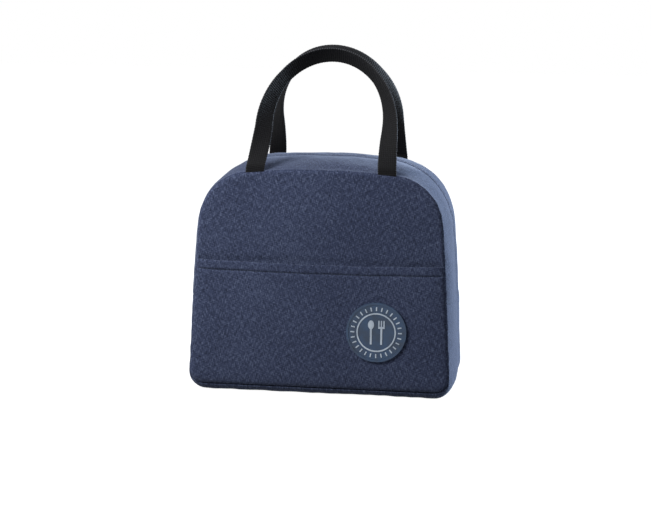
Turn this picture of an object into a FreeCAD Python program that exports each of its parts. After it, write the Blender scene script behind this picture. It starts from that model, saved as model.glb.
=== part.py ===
import FreeCAD, Part
import math
import os

# Soft insulated lunch bag: arched front and back panels, a crowned gusset between them,
# a zip along the middle of the gusset, a slip pocket with a round badge, and two webbing handles.
# Millimetres, +Z up, the front faces -Y, and the origin is on the floor under the middle of the bag.

Vector = FreeCAD.Vector

# Front and back panels
panel_width = 229.0  # along the bottom seam, between the two side lines
panel_height = 189.0  # bottom seam to top seam, on the middle line
side_taper = 3.8  # degrees that each side leans in
shoulder_radius = 44.0
top_arc_radius = 690.0
bottom_corner_radius = 12.0
bag_depth = 123.0  # face of the front panel to face of the back panel

# Gusset, the strip that joins the panels; it stands proud of the seams by a crown
top_crown = 8.0
side_crown = 5.5
base_crown = 8.0
shoulder_ease = 18.0  # added to the shoulder's radius where the crown is full
corner_ease = 6.0  # the same for the bottom corner's radius
sharpest_bend = 1.0
crown_run = 46.0  # distance from a panel's face to where the crown is full
crown_bends = (0.2, 0.5, 1.0)  # shares of the run where the crown's faces meet

# Layers of the wall
fabric_thickness = 0.8
foam_thickness = 4.0
lining_thickness = 0.4

# Fold line, where the upper halves of the bag hinge open
fold_height = 86.0
fold_gap = 0.3

# Tape that binds the raw seams inside
binding_width = 8.0
binding_thickness = 1.4
joint_binding_width = 10.0
joint_binding_setback = 17.5  # from a panel's face to the end of the tape

# Slip pocket on the front panel
pocket_height = 110.0  # bottom seam to the pocket's mouth
pocket_slack = 1.5
pocket_seam_width = 5.0
pocket_hem_depth = 8.0

# Round badge sewn on the pocket
badge_diameter = 52.0
badge_thickness = 1.4
badge_rim_width = 1.8
badge_rim_height = 0.5
badge_right_of_middle = 50.7
badge_above_bottom_seam = 51.4
inlay_height = 0.4
inlay_band = 9.0  # badge's edge to the inlaid ring
inlay_ring_width = 1.1
inlay_tick_count = 28
inlay_tick_margin = 1.9  # clear at each end of a tick
inlay_tick_width = 1.0
cutlery_margin = 5.4  # clear of the ring, above and below
cutlery_spacing = 9.0
cutlery_stem_width = 1.6
spoon_bowl_width = 5.2
spoon_bowl_length = 7.6
fork_tine_length = 5.4
fork_tine_width = 1.1
fork_tine_count = 3
fork_head_width = 5.5

# Zip, hidden under the turned edges of the two upper gusset strips
zip_mouth = 2.6  # between the two turned edges
hem_width = 9.0
hem_thickness = 1.8
tape_thickness = 0.6
coil_gap = 1.4  # between the two rows, room for the slider's post
coil_width = 2.1
coil_thickness = 1.8
foam_setback = 0.3  # foam and lining stop this far outside the tape

# Slider and pull
slider_length = 11.0
slider_plate = 0.6
slider_base_plate = 0.8
slider_flange = 0.8
slider_corner_radius = 2.1
slider_post_length = 6.0
slider_park = 0.6  # above the fold
slider_clearance = 0.2  # to the layers that pass through it
post_clearance = 0.25  # to each row of coil
flange_clearance = 0.9  # to each row of coil
hem_clearance = 0.8  # slider's side to the turned edge's hem
lug_length = 3.0
lug_cap = 0.9  # metal round the pin
pin_radius = 0.7
pin_overhang = 0.7
pull_bore_clearance = 0.05
pull_eye_wall = 0.75
pull_eye_width = 2.0
pull_above_fabric = 0.4
pull_length = 28.0
pull_width = 7.0
pull_thickness = 1.0
pull_end_radius = 2.8
pull_neck_clearance = 0.8  # lug to the start of the tab
pull_slot_length = 11.0
pull_slot_width = 2.6
pull_slot_edge = 5.0  # tab's free end to the slot

# Webbing handles
webbing_width = 16.0
webbing_thickness = 1.8
handle_span = 114.0  # between the middles of the two feet
handle_leg = 45.0
handle_draw_in = 4.5  # that each leg comes in by, foot to arch
handle_rise = 66.0  # of the arch, above the legs
handle_twist = 60.0  # degrees that the webbing rolls inwards
twist_start = 8.0  # above the seam
twist_end = 90.0
front_lean = 28.0  # degrees inwards
rear_lean = 25.5
handle_seat = 0.4  # between the webbing and the seam below it
hinge_above_seam = 1.2
handle_sections = 12
tail_length = 24.0
tail_below_edge = 2.0

# Worked out from the sizes above
half_depth = bag_depth / 2
bottom_seam = base_crown
top_seam = bottom_seam + panel_height
half_width = panel_width / 2
taper = math.radians(side_taper)
wall_thickness = fabric_thickness + foam_thickness + lining_thickness
far = 2 * (panel_width + panel_height + bag_depth)
flap_bottom = fold_height + fold_gap
pocket_face = half_depth + pocket_slack + fabric_thickness
front_face = -half_depth
top_middle = top_seam - top_arc_radius  # height of the top arc's centre
coil_edge = coil_gap / 2
slider_width = 2 * (coil_edge + coil_width + flange_clearance + slider_flange)
slider_post_width = coil_gap - 2 * post_clearance
hem_start = slider_width / 2 + hem_clearance  # from the middle line
tape_edge = hem_start + hem_width


def corner_bend(share, inset):
    """Centre and radius of the right bottom corner's arc, for a share of the crown and an inset."""
    radius = max(corner_radius(share, inset), sharpest_bend)
    base = bottom_seam - share * base_crown + inset
    side_x = half_width + (share * side_crown - inset) / math.cos(taper)
    side_x = side_x + (bottom_seam - base) * math.tan(taper)
    return side_x - radius * (1 + math.sin(taper)) / math.cos(taper), base + radius, radius


def corner_radius(share, inset):
    return bottom_corner_radius + share * corner_ease - inset


def shoulder_bend(share, inset):
    """Centre and radius of the right shoulder's arc, which touches the side line and the top arc."""
    radius = shoulder_radius + share * shoulder_ease - inset
    side_x = half_width + (share * side_crown - inset) / math.cos(taper)
    start_x = side_x - radius * math.cos(taper)
    start_z = bottom_seam - radius * math.sin(taper)
    from_top_z = start_z - top_middle
    along = -start_x * math.sin(taper) + from_top_z * math.cos(taper)
    apart = start_x ** 2 + from_top_z ** 2 - (top_radius(share, inset) - radius) ** 2
    climb = -along + math.sqrt(along ** 2 - apart)
    return start_x - climb * math.sin(taper), start_z + climb * math.cos(taper), radius


def top_radius(share, inset):
    return top_arc_radius + share * top_crown - inset


def outline(share, inset, y):
    """The bag's outline from the front, for a share of the crown and an inset, as a closed wire at y."""
    corner_x, corner_z, corner = corner_bend(share, inset)
    shoulder_x, shoulder_z, shoulder = shoulder_bend(share, inset)
    top = top_radius(share, inset)
    shoulder_end = math.atan2(shoulder_z - top_middle, shoulder_x)

    def bend(x, z, radius, first, last):
        spots = []
        for angle in (first, (first + last) / 2, last):
            spots.append(Vector(x + radius * math.cos(angle), y, z + radius * math.sin(angle)))
        return Part.Arc(*spots).toShape()

    down, up, left = -math.pi / 2, math.pi / 2, math.pi
    arcs = [
        bend(corner_x, corner_z, corner, down, taper),
        bend(shoulder_x, shoulder_z, shoulder, taper, shoulder_end),
        bend(0, top_middle, top, shoulder_end, up),
        bend(0, top_middle, top, up, left - shoulder_end),
        bend(-shoulder_x, shoulder_z, shoulder, left - shoulder_end, left - taper),
        bend(-corner_x, corner_z, corner, left - taper, left - down),
    ]

    def straight(before, after):
        return Part.makeLine(before.lastVertex(True).Point, after.firstVertex(True).Point)

    right_side = straight(arcs[0], arcs[1])
    left_side = straight(arcs[4], arcs[5])
    base = straight(arcs[5], arcs[0])
    return Part.Wire([arcs[0], right_side] + arcs[1:5] + [left_side, arcs[5], base])


def crown_share(distance):
    """Share of the full crown that the gusset has reached, at a distance in from a panel's face."""
    return 1 - (1 - min(distance / crown_run, 1.0)) ** 2


def bag_form(inset):
    """The bag filled solid, drawn in by an inset all round."""
    bends = [crown_run * bend for bend in crown_bends]
    steps = [inset] + [step for step in bends if step > inset + fabric_thickness]
    fronts = [(crown_share(step), step - half_depth) for step in steps]
    backs = [(share, -y) for share, y in reversed(fronts)]
    wires = [outline(share, inset, y) for share, y in fronts + backs]
    return Part.makeLoft(wires, True, True)


def band(y_low, y_high, z_low=-far, z_high=far):
    """A block that takes in everything between two depths and two heights."""
    corner = Vector(-far, y_low, z_low)
    return Part.makeBox(2 * far, y_high - y_low, z_high - z_low, corner)


def prism(share, inset, y_low, y_high):
    """The outline as a straight block between two depths."""
    return Part.Face(outline(share, inset, y_low)).extrude(Vector(0, y_high - y_low, 0))


def level_strip(top, bottom, y_low, y_high):
    """A strip along the level middle of the gusset, above the fold, between two depths in its wall."""
    outer = prism(1, top, y_low, y_high)
    inner = prism(1, bottom, y_low, y_high)
    return outer.cut(inner).common(band(y_low, y_high, flap_bottom))


def mirrored(shape):
    """The same piece on the other side, front to back."""
    return shape.mirror(Vector(0, 0, 0), Vector(0, 1, 0))


def save(name, shape):
    """Writes one piece, and prints what it measures."""
    print(f"{name}: {len(shape.Solids)} solids, {shape.Volume:.1f} mm3, valid {shape.isValid()}")
    shape.exportStep(f"parts/{name}.step")


def save_pair(front_name, back_name, shape):
    """Writes a front piece and its mirror image at the back."""
    save(front_name, shape)
    save(back_name, mirrored(shape))


os.makedirs("parts", exist_ok=True)

# The wall's layers, from the outside in
outer_form = bag_form(0)
foam_form = bag_form(fabric_thickness)
lining_form = bag_form(fabric_thickness + foam_thickness)
hollow_form = bag_form(wall_thickness)
foam_face = front_face + fabric_thickness
lining_face = foam_face + foam_thickness
hollow_face = lining_face + lining_thickness
below_fold = band(-far, far, -far, fold_height)
above_fold = band(-far, far, flap_bottom, far)

# Outer fabric
front_panel = outer_form.common(band(front_face, foam_face))
gusset_fabric = outer_form.cut(foam_form).common(band(foam_face, -foam_face))
hem = level_strip(fabric_thickness, fabric_thickness + hem_thickness, -tape_edge, -hem_start)
top_strip = gusset_fabric.common(band(foam_face, -zip_mouth / 2)).common(above_fold)
save_pair("front_panel", "back_panel", front_panel)
save("lower_gusset", gusset_fabric.common(below_fold))
save_pair("top_gusset_front", "top_gusset_rear", top_strip.fuse(hem).removeSplitter())

# Handle ends, sewn flat behind the panels
hinge_side = half_depth + webbing_thickness / 2 + handle_seat
foot_middle = handle_span / 2
foot_drop = top_arc_radius - math.sqrt(top_arc_radius ** 2 - foot_middle ** 2)
foot_seam = top_seam - foot_drop
tail_top = foot_seam - tail_below_edge
tails = []
for side in (-1, 1):
    tail_corner = Vector(side * foot_middle - webbing_width / 2, foam_face, tail_top - tail_length)
    tail = Part.makeBox(webbing_width, webbing_thickness, tail_length, tail_corner)
    tails.append(tail.common(foam_form))
handle_tails = Part.makeCompound(tails)
save_pair("front_handle_tails", "rear_handle_tails", handle_tails)

# Foam boards
panel_foam = foam_form.common(band(foam_face, lining_face))
gusset_foam = foam_form.cut(lining_form).common(band(lining_face, -lining_face))
foam_edge = tape_edge + foam_setback
corner_x, corner_z, _ = corner_bend(0, 0)
lower_foam = gusset_foam.common(below_fold)
base_block = Part.makeBox(2 * corner_x, 2 * far, corner_z, Vector(-corner_x, -far, 0))
side_block = Part.makeBox(far, 2 * far, 2 * far, Vector(corner_x, -far, -far))
right_foam = lower_foam.common(side_block)
save_pair("front_foam_lower", "back_foam_lower", panel_foam.common(below_fold))
save_pair("front_foam_upper", "back_foam_upper", panel_foam.common(above_fold).cut(handle_tails))
save("base_foam", lower_foam.common(base_block))
save("right_side_foam", right_foam)
save("left_side_foam", right_foam.mirror(Vector(0, 0, 0), Vector(1, 0, 0)))
top_foam = gusset_foam.common(band(lining_face, -foam_edge)).common(above_fold)
save_pair("top_foam_front", "top_foam_rear", top_foam)

# Foil lining
panel_lining = lining_form.common(band(lining_face, hollow_face))
gusset_lining = lining_form.cut(hollow_form).common(band(hollow_face, -hollow_face))
save_pair("front_lining", "back_lining", panel_lining)
save("lower_lining", gusset_lining.common(below_fold))
top_lining = gusset_lining.common(band(hollow_face, -foam_edge)).common(above_fold)
save_pair("top_lining_front", "top_lining_rear", top_lining)

# Binding tape over the raw seams
binding_band = band(hollow_face, hollow_face + binding_thickness)
binding_edge = wall_thickness + binding_width
binding_middle = prism(crown_share(wall_thickness), binding_edge, front_face, 0)
binding = hollow_form.common(binding_band).cut(binding_middle)
save_pair("front_seam_binding_lower", "back_seam_binding_lower", binding.common(below_fold))
save_pair("front_seam_binding_upper", "back_seam_binding_upper", binding.common(above_fold))
joint_half = half_depth - joint_binding_setback
joint_band = band(-joint_half, joint_half, fold_height - joint_binding_width, fold_height)
inside_binding = bag_form(wall_thickness + binding_thickness)
save("gusset_seam_bindings", hollow_form.cut(inside_binding).common(joint_band))

# Slip pocket: a flat pouch, open at the top, sewn round its other edges
pocket_mouth = bottom_seam + pocket_height
pocket_back = front_face - pocket_slack
pocket_block = prism(0, 0, -pocket_face, front_face).common(band(-far, far, -far, pocket_mouth))
pouch_inside = prism(0, pocket_seam_width, pocket_back, front_face)
hem_face = pocket_back + fabric_thickness
pouch_hem = prism(0, pocket_seam_width, pocket_back, hem_face)
pouch_hem = pouch_hem.common(band(-far, far, pocket_mouth - pocket_hem_depth, pocket_mouth))
save("front_pocket", pocket_block.cut(pouch_inside.cut(pouch_hem)))

# Badge: a moulded disc with a raised rim
badge_radius = badge_diameter / 2
badge_middle = Vector(badge_right_of_middle, -pocket_face, bottom_seam + badge_above_bottom_seam)
outward = Vector(0, -1, 0)
badge_front = badge_middle + outward * badge_thickness


def badge_disc(radius, start, height):
    return Part.makeCylinder(radius, height, start, outward)


rim_outer = badge_disc(badge_radius, badge_front, badge_rim_height)
rim_inner = badge_disc(badge_radius - badge_rim_width, badge_front, badge_rim_height)
badge = badge_disc(badge_radius, badge_middle, badge_thickness).fuse(rim_outer.cut(rim_inner))
save("badge_patch", badge.removeSplitter())


# Inlay on the badge: a ring, short ticks round it, and a plain spoon and fork
ring_radius = badge_radius - inlay_band
ring_inside = ring_radius - inlay_ring_width
cutlery_length = 2 * (ring_inside - cutlery_margin)


def inlay_bar(x_low, z_low, width, length):
    corner = badge_front + Vector(x_low, -inlay_height, z_low)
    return Part.makeBox(width, inlay_height, length, corner)


def inlay_ring():
    outer = badge_disc(ring_radius, badge_front, inlay_height)
    return outer.cut(badge_disc(ring_inside, badge_front, inlay_height))


def inlay_ticks():
    tick_start = ring_radius + inlay_tick_margin
    tick_length = badge_radius - badge_rim_width - inlay_tick_margin - tick_start
    tick = inlay_bar(-inlay_tick_width / 2, tick_start, inlay_tick_width, tick_length)
    ticks = []
    for number in range(inlay_tick_count):
        turned = tick.copy()
        turned.rotate(badge_front, outward, 360.0 * number / inlay_tick_count)
        ticks.append(turned)
    return ticks


def inlay_spoon():
    x = -cutlery_spacing / 2
    bowl_z = cutlery_length / 2 - spoon_bowl_length / 2
    bowl = Part.Ellipse(Vector(0, 0, 0), spoon_bowl_length / 2, spoon_bowl_width / 2).toShape()
    bowl = Part.Face(Part.Wire(bowl)).extrude(Vector(0, 0, inlay_height))
    bowl.rotate(Vector(0, 0, 0), Vector(0, 0, 1), 90)
    bowl.rotate(Vector(0, 0, 0), Vector(1, 0, 0), 90)
    bowl.translate(badge_front + Vector(x, 0, bowl_z))
    stem_x = x - cutlery_stem_width / 2
    stem = inlay_bar(stem_x, -cutlery_length / 2, cutlery_stem_width, cutlery_length / 2 + bowl_z)
    return bowl.fuse(stem).removeSplitter()


def inlay_fork():
    x = cutlery_spacing / 2
    neck_z = cutlery_length / 2 - fork_tine_length
    stem_z = -cutlery_length / 2
    fork = inlay_bar(x - cutlery_stem_width / 2, stem_z, cutlery_stem_width, neck_z - stem_z)
    head_x = x - fork_head_width / 2
    fork = fork.fuse(inlay_bar(head_x, neck_z - cutlery_stem_width, fork_head_width, cutlery_stem_width))
    pitch = (fork_head_width - fork_tine_width) / (fork_tine_count - 1)
    for number in range(fork_tine_count):
        fork = fork.fuse(inlay_bar(head_x + pitch * number, neck_z, fork_tine_width, fork_tine_length))
    return fork.removeSplitter()


save("badge_inlay", Part.makeCompound([inlay_ring(), inlay_spoon(), inlay_fork()] + inlay_ticks()))

# Zip tapes and the two rows of coil under them
tape_top = fabric_thickness + hem_thickness
coil_top = tape_top + tape_thickness
coil_bottom = coil_top + coil_thickness
save_pair("zip_tape_front", "zip_tape_rear", level_strip(tape_top, coil_top, -tape_edge, -coil_edge))
coil_row = level_strip(coil_top, coil_bottom, -coil_edge - coil_width, -coil_edge)
save_pair("zip_coil_front", "zip_coil_rear", coil_row)

# Slider and pull, drawn lying on the left side: x up the zip, z out from the fabric
park_height = flap_bottom + slider_park
park_x = half_width + (side_crown - (park_height - bottom_seam) * math.sin(taper)) / math.cos(taper)
zip_up = Vector(math.sin(taper), 0, math.cos(taper))
zip_out = Vector(-math.cos(taper), 0, math.sin(taper))
side_place = FreeCAD.Placement(FreeCAD.Matrix(
    zip_up.x, 0, zip_out.x, -park_x,
    zip_up.y, 1, zip_out.y, 0,
    zip_up.z, 0, zip_out.z, park_height,
    0, 0, 0, 1,
))


def on_side(shape):
    """Takes a piece from the slider's own axes to its place on the bag's left side."""
    placed = shape.copy()
    placed.Placement = side_place.multiply(placed.Placement)
    return placed


def slider_block(x_low, x_high, width, z_low, z_high):
    corner = Vector(x_low, -width / 2, z_low)
    return Part.makeBox(x_high - x_low, width, z_high - z_low, corner)


def upright_edges(block):
    return [edge for edge in block.Edges if abs(edge.tangentAt(edge.FirstParameter).z) > 0.5]


def rounded_plate(z_low, thickness):
    plate = slider_block(0, slider_length, slider_width, z_low, z_low + thickness)
    return plate.makeFillet(slider_corner_radius, upright_edges(plate))


pin_x = slider_length / 2
pin_axis = Vector(0, 1, 0)
bore_radius = pin_radius + pull_bore_clearance
eye_radius = bore_radius + pull_eye_wall
eye_start = slider_post_width / 2 + slider_clearance
pin_height = eye_radius + pull_above_fabric
pin_length = 2 * (eye_start + pull_eye_width + pin_overhang)
lug_radius = pin_radius + lug_cap
plate_top = -fabric_thickness - slider_clearance
base_top = -coil_bottom - slider_clearance
post_start = pin_x - slider_post_length / 2
slider = rounded_plate(plate_top - slider_plate, slider_plate)
slider = slider.fuse(rounded_plate(base_top - slider_base_plate, slider_base_plate))
flange_top = -coil_top - slider_clearance
flange_end = slider_length - slider_corner_radius
flange_outer = slider_block(slider_corner_radius, flange_end, slider_width, base_top, flange_top)
flange_inner = slider_block(0, slider_length, slider_width - 2 * slider_flange, base_top, flange_top)
slider = slider.fuse(flange_outer.cut(flange_inner))
post_end = post_start + slider_post_length
slider = slider.fuse(slider_block(post_start, post_end, slider_post_width, base_top, plate_top))
lug_start = pin_x - lug_length / 2
lug_end = lug_start + lug_length
slider = slider.fuse(slider_block(lug_start, lug_end, slider_post_width, plate_top, pin_height))
lug_corner = Vector(pin_x, -slider_post_width / 2, pin_height)
slider = slider.fuse(Part.makeCylinder(lug_radius, slider_post_width, lug_corner, pin_axis))
pin = Part.makeCylinder(pin_radius, pin_length, Vector(pin_x, -pin_length / 2, pin_height), pin_axis)
save("zip_slider", on_side(slider.fuse(pin).removeSplitter()))

pull_neck = lug_radius + pull_neck_clearance
tab_low = pin_height - pull_thickness / 2
tab_high = tab_low + pull_thickness
tab_start = pin_x - pull_length
tab = slider_block(tab_start, pin_x - pull_neck, pull_width, tab_low, tab_high)
tab_end = [edge for edge in upright_edges(tab) if edge.CenterOfMass.x < tab_start + pull_end_radius]
tab = tab.makeFillet(pull_end_radius, tab_end)
slot_x = tab_start + pull_slot_edge
pull = tab.cut(slider_block(slot_x, slot_x + pull_slot_length, pull_slot_width, tab_low, tab_high))
for side in (-1, 1):
    eye_y = eye_start if side > 0 else -eye_start - pull_eye_width
    eye_base = Vector(pin_x, eye_y, pin_height)
    arm_corner = Vector(pin_x - pull_neck - pull_thickness, eye_y, tab_low)
    arm = Part.makeBox(pull_neck + pull_thickness, pull_eye_width, pull_thickness, arm_corner)
    pull = pull.fuse(Part.makeCylinder(eye_radius, pull_eye_width, eye_base, pin_axis)).fuse(arm)
bore_start = Vector(pin_x, -pin_length, pin_height)
pull = pull.cut(Part.makeCylinder(bore_radius, 2 * pin_length, bore_start, pin_axis))
save("zip_pull", on_side(pull.removeSplitter()))


# Handles: one length of webbing each, rising from its feet, rolling inwards and arching over
def handle_path():
    """Places along the webbing's middle: position in the handle's plane, outward direction, roll."""
    below_seam = hinge_above_seam + webbing_thickness
    arch_half = foot_middle - handle_draw_in
    leg = []
    for height in (-below_seam, twist_start, handle_leg / 2):
        climbed = max(height, 0) / handle_leg
        leg.append((arch_half + handle_draw_in * (1 - climbed) ** 2, height))
    right = [(x, height, Vector(1, 0, 0)) for x, height in leg]
    left = [(-x, height, Vector(-1, 0, 0)) for x, height in reversed(leg)]
    arch = []
    for number in range(handle_sections + 1):
        angle = math.pi * number / handle_sections
        out = Vector(handle_rise * math.cos(angle), 0, arch_half * math.sin(angle)).normalize()
        arch.append((arch_half * math.cos(angle), handle_leg + handle_rise * math.sin(angle), out))
    places = []
    for x, height, out in right + arch + left:
        turned = min(max((height - twist_start) / (twist_end - twist_start), 0), 1)
        places.append((Vector(x, 0, height), out, math.radians(handle_twist) * turned))
    return places


def webbing_section(middle, out, roll):
    """Cross-section of the webbing at one place on its path."""
    forward = Vector(0, -1, 0)
    across = out * math.cos(roll) + forward * math.sin(roll)
    through = forward * math.cos(roll) - out * math.sin(roll)
    across = across * (webbing_width / 2)
    through = through * (webbing_thickness / 2)
    corners = [across + through, through - across, (across + through) * -1, across - through]
    corners = [middle + corner for corner in corners]
    return Part.makePolygon(corners + corners[:1])


def handle(lean):
    """A front handle that leans in by so many degrees, trimmed to the seam that holds its feet."""
    loop = Part.makeLoft([webbing_section(*place) for place in handle_path()], True, True)
    loop.rotate(Vector(0, 0, 0), Vector(1, 0, 0), -lean)
    loop.translate(Vector(0, -hinge_side, foot_seam + hinge_above_seam))
    return loop.cut(prism(0, -handle_seat, -far, 0))


save("front_handle", handle(front_lean))
save("rear_handle", mirrored(handle(rear_lean)))
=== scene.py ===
import math

import bmesh
import bpy
import numpy as np
from mathutils import Matrix, Vector, noise


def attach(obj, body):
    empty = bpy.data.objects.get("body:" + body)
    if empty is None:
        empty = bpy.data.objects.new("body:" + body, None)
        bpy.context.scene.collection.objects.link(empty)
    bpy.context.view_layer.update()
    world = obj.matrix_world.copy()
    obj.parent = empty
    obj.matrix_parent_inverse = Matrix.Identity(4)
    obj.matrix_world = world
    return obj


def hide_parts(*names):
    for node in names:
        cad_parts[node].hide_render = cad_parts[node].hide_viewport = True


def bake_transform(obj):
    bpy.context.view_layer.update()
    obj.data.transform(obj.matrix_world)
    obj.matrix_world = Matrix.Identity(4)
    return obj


# Soft insulated lunch bag. Sizes are in millimetres until a mesh is made, +Z is up and the front faces -Y.

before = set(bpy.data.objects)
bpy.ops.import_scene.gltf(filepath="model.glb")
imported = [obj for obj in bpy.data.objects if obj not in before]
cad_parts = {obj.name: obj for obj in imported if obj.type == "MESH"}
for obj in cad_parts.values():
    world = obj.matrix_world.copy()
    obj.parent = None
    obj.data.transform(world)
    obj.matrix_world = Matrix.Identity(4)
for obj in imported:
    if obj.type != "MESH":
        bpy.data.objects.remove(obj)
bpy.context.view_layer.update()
scene = bpy.context.scene
mm = 0.001

# Sizes shared with the solids
panel_width = 229.0
panel_height = 189.0
side_taper = math.radians(3.8)
shoulder_radius = 44.0
top_arc_radius = 690.0
corner_radius = 12.0
half_depth = 61.5
top_crown = 8.0
side_crown = 5.5
base_crown = 8.0
shoulder_ease = 18.0
corner_ease = 6.0
crown_run = 46.0
wall = 5.2
fold_height = 86.0
bottom_seam = base_crown
top_seam = bottom_seam + panel_height
pocket_mouth = bottom_seam + 110.0
badge_x, badge_z, badge_radius = 50.7, 59.4, 26.0
handle_span = 114.0
handle_leg = 45.0
webbing_width = 16.0
webbing_thickness = 1.8
hinge_side = 62.8
hinge_height = 195.84

# Sizes that only the pieces made here have
handle_draw_in = 2.3
handle_rise = 66.5
handle_roll = math.radians(69.0)
base_run = 15.0  # depth in which the gusset drops to the base
base_lead = 0.4  # that the drop has already begun at the seam
shoulder_turn = 174.0  # height above the bottom seam at which a panel's grid turns from side to top
cell = 3.0  # spacing of the places on a panel
pocket_run = 106.0  # length of the pocket's side seam
hem_drop = 8.0  # from the pocket's mouth to its stitches
stitch_length, stitch_gap, thread_radius = 2.6, 1.0, 0.3
side_fullness = 2.1
lump_strength = 1.2
inner_lip = 4.9  # depth at which the inner face of the gusset starts
coil_pitch, coil_wire = 1.5, 0.37
inner_step = 2.5  # spacing of the rows of linings and bindings


# Materials

one_wave = math.pi / 10  # scale at which a wave texture has one band in each unit
thread_pitch = 0.45


def ink(code):
    """A colour written as sRGB hex, as linear red, green, blue and alpha."""
    parts = [int(code[i:i + 2], 16) / 255 for i in (1, 3, 5)]
    return [p / 12.92 if p <= 0.04045 else ((p + 0.055) / 1.055) ** 2.4 for p in parts] + [1.0]


def wire(tree, node, links):
    """Sets a node's inputs to the values given, or links them to a socket or to a node's first output."""
    for name, source in links.items():
        if isinstance(source, bpy.types.Node):
            source = source.outputs[0]
        if isinstance(source, bpy.types.NodeSocket):
            tree.links.new(source, node.inputs[name])
        else:
            node.inputs[name].default_value = source


def add(tree, kind, links=None, stops=(), **settings):
    """Adds a node with its settings and links, and a ramp's stops as places and hex colours."""
    node = tree.nodes.new("ShaderNode" + kind)
    for name, value in settings.items():
        setattr(node, name, value)
    if stops:
        elements = node.color_ramp.elements
        while len(elements) < len(stops):
            elements.new(0.5)
        for element, (place, code) in zip(elements, stops):
            element.position = place
            element.color = ink(code)
    wire(tree, node, links or {})
    return node


def new_material(name):
    """An empty material with its surface node, ready for links."""
    material = bpy.data.materials.new(name)
    material.use_nodes = True
    tree = material.node_tree
    tree.nodes.clear()
    surface = add(tree, "BsdfPrincipled")
    add(tree, "OutputMaterial", {"Surface": surface.outputs["BSDF"]})
    return material, tree, surface


def per_mm(along, across):
    """Scale of a pattern that is so many millimetres long and wide on the cloth."""
    return 1 / along, 1 / across, 1.0


def cloth_mottle(tree, cloth, along, across, detail):
    """Uneven shade on the cloth, with patches so many millimetres long and wide."""
    place = add(tree, "Mapping", {"Vector": cloth, "Scale": per_mm(along, across)})
    return add(tree, "TexNoise", {"Vector": place, "Scale": 1.0, "Detail": detail})


def solid_mottle(tree, size, detail):
    """Uneven shade in an object's own space, with patches so many millimetres large."""
    own = add(tree, "TexCoord").outputs["Object"]
    place = add(tree, "Mapping", {"Vector": own, "Scale": [1 / (size * mm)] * 3})
    return add(tree, "TexNoise", {"Vector": place, "Scale": 1.0, "Detail": detail})


def thread_shades(tree, cloth, across, along, length):
    """Shade of each thread in one direction: threads a pitch apart, each with its own lighter and darker
    lengths, because each starts at its own place in the same long run of shades."""
    far_apart = 97.0
    split = add(tree, "SeparateXYZ", {"Vector": cloth})
    place = add(tree, "Math", {0: split.outputs[across], 1: thread_pitch}, operation="DIVIDE")
    number = add(tree, "Math", {0: place}, operation="FLOOR")
    start = add(tree, "TexWhiteNoise", {"W": number}, noise_dimensions="1D")
    run = add(tree, "Math", {0: split.outputs[along], 1: length}, operation="DIVIDE")
    moved = add(tree, "Math", {0: start, 1: far_apart, 2: run},
                operation="MULTIPLY_ADD")
    shade = add(tree, "TexNoise", {"W": moved, "Scale": 1.0, "Detail": 1.0},
                noise_dimensions="1D")
    return shade


def heathered_polyester(name, dark, mid, light):
    """Plain-woven melange polyester: threads dyed to several depths, so short streaks of a thread's width run
    both ways, with a dry matt face and a pale fuzz at a low angle."""
    material, tree, surface = new_material(name)
    cloth = add(tree, "UVMap", uv_map="cloth_mm")
    warp = thread_shades(tree, cloth, "X", "Y", 4.6)
    weft = thread_shades(tree, cloth, "Y", "X", 3.2)
    cast = cloth_mottle(tree, cloth, 60.0, 75.0, 1.0)
    both = add(tree, "Mix", {"Factor": 0.46, "A": warp, "B": weft})
    shaded = add(tree, "Mix", {"Factor": 0.1, "A": both, "B": cast})
    colour = add(tree, "ValToRGB", {"Fac": shaded}, [(0.28, dark), (0.5, mid), (0.72, light)])
    bump = add(tree, "Bump", {"Height": both, "Strength": 0.3, "Distance": 0.0003})
    wire(tree, surface, {"Base Color": colour, "Normal": bump,
                         "Roughness": 0.92, "Specular IOR Level": 0.1, "Sheen Weight": 0.27,
                         "Sheen Roughness": 0.45, "Sheen Tint": ink("#b9c4d8")})
    return material


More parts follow.
